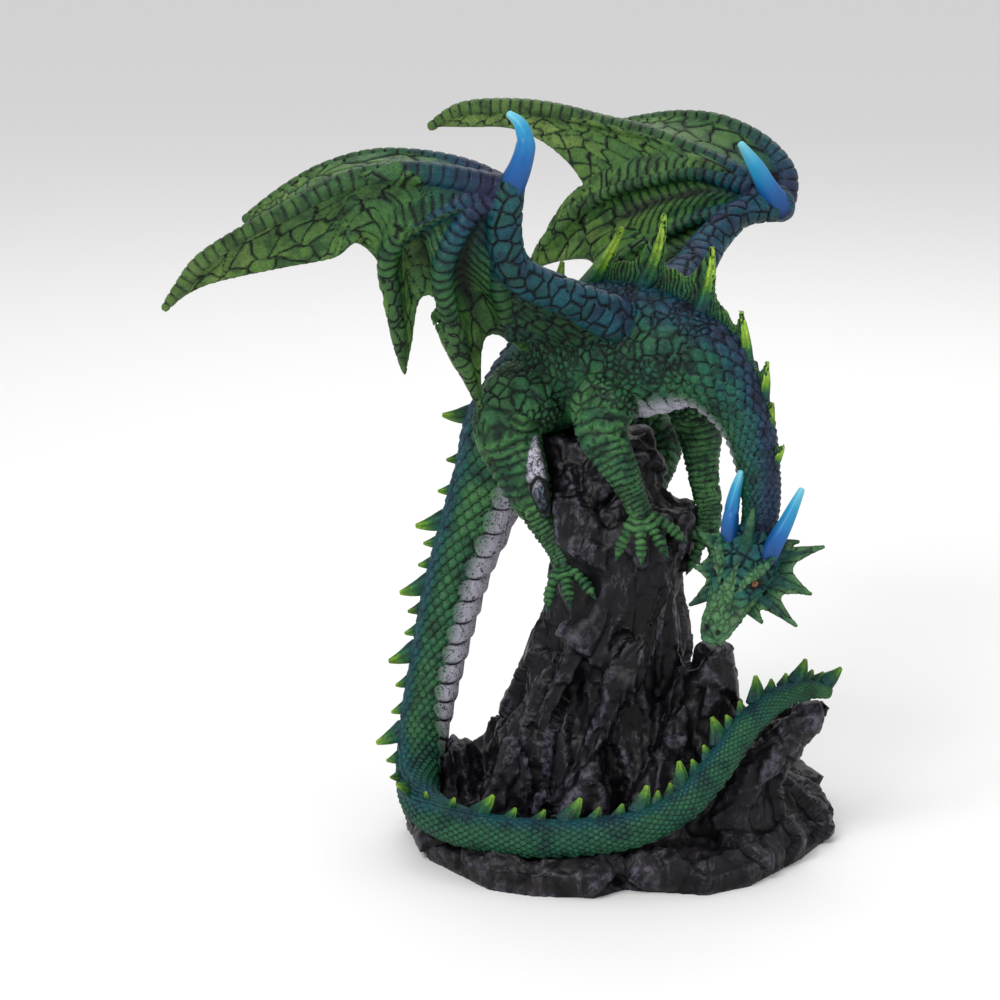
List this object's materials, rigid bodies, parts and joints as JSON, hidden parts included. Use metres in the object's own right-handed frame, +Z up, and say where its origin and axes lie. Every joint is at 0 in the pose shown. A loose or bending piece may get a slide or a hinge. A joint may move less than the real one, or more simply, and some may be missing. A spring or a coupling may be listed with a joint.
{
  "type": "dragon statue",
  "caption": "Painted resin figurine of a green and blue winged dragon perched on a dark rock crag, its tail wrapped round the base.",
  "frame": {"origin": "centre of the flat underside of the rock base", "axes": "+Z up through the crag, +X to the side the dragon's head hangs on, -Y to the front of the base where the tail wraps round it"},
  "size_m": [0.2573, 0.2067, 0.2967],
  "materials": {
    "painted_dragon": "satin hand-painted green to teal and deep blue with black wash in the recesses",
    "painted_rock": "satin black with grey-lilac drybrushed edges"
  },
  "bodies": {
    "root": {"dragon": "painted_dragon", "rock_base": "painted_rock"}
  },
  "joints": []
}
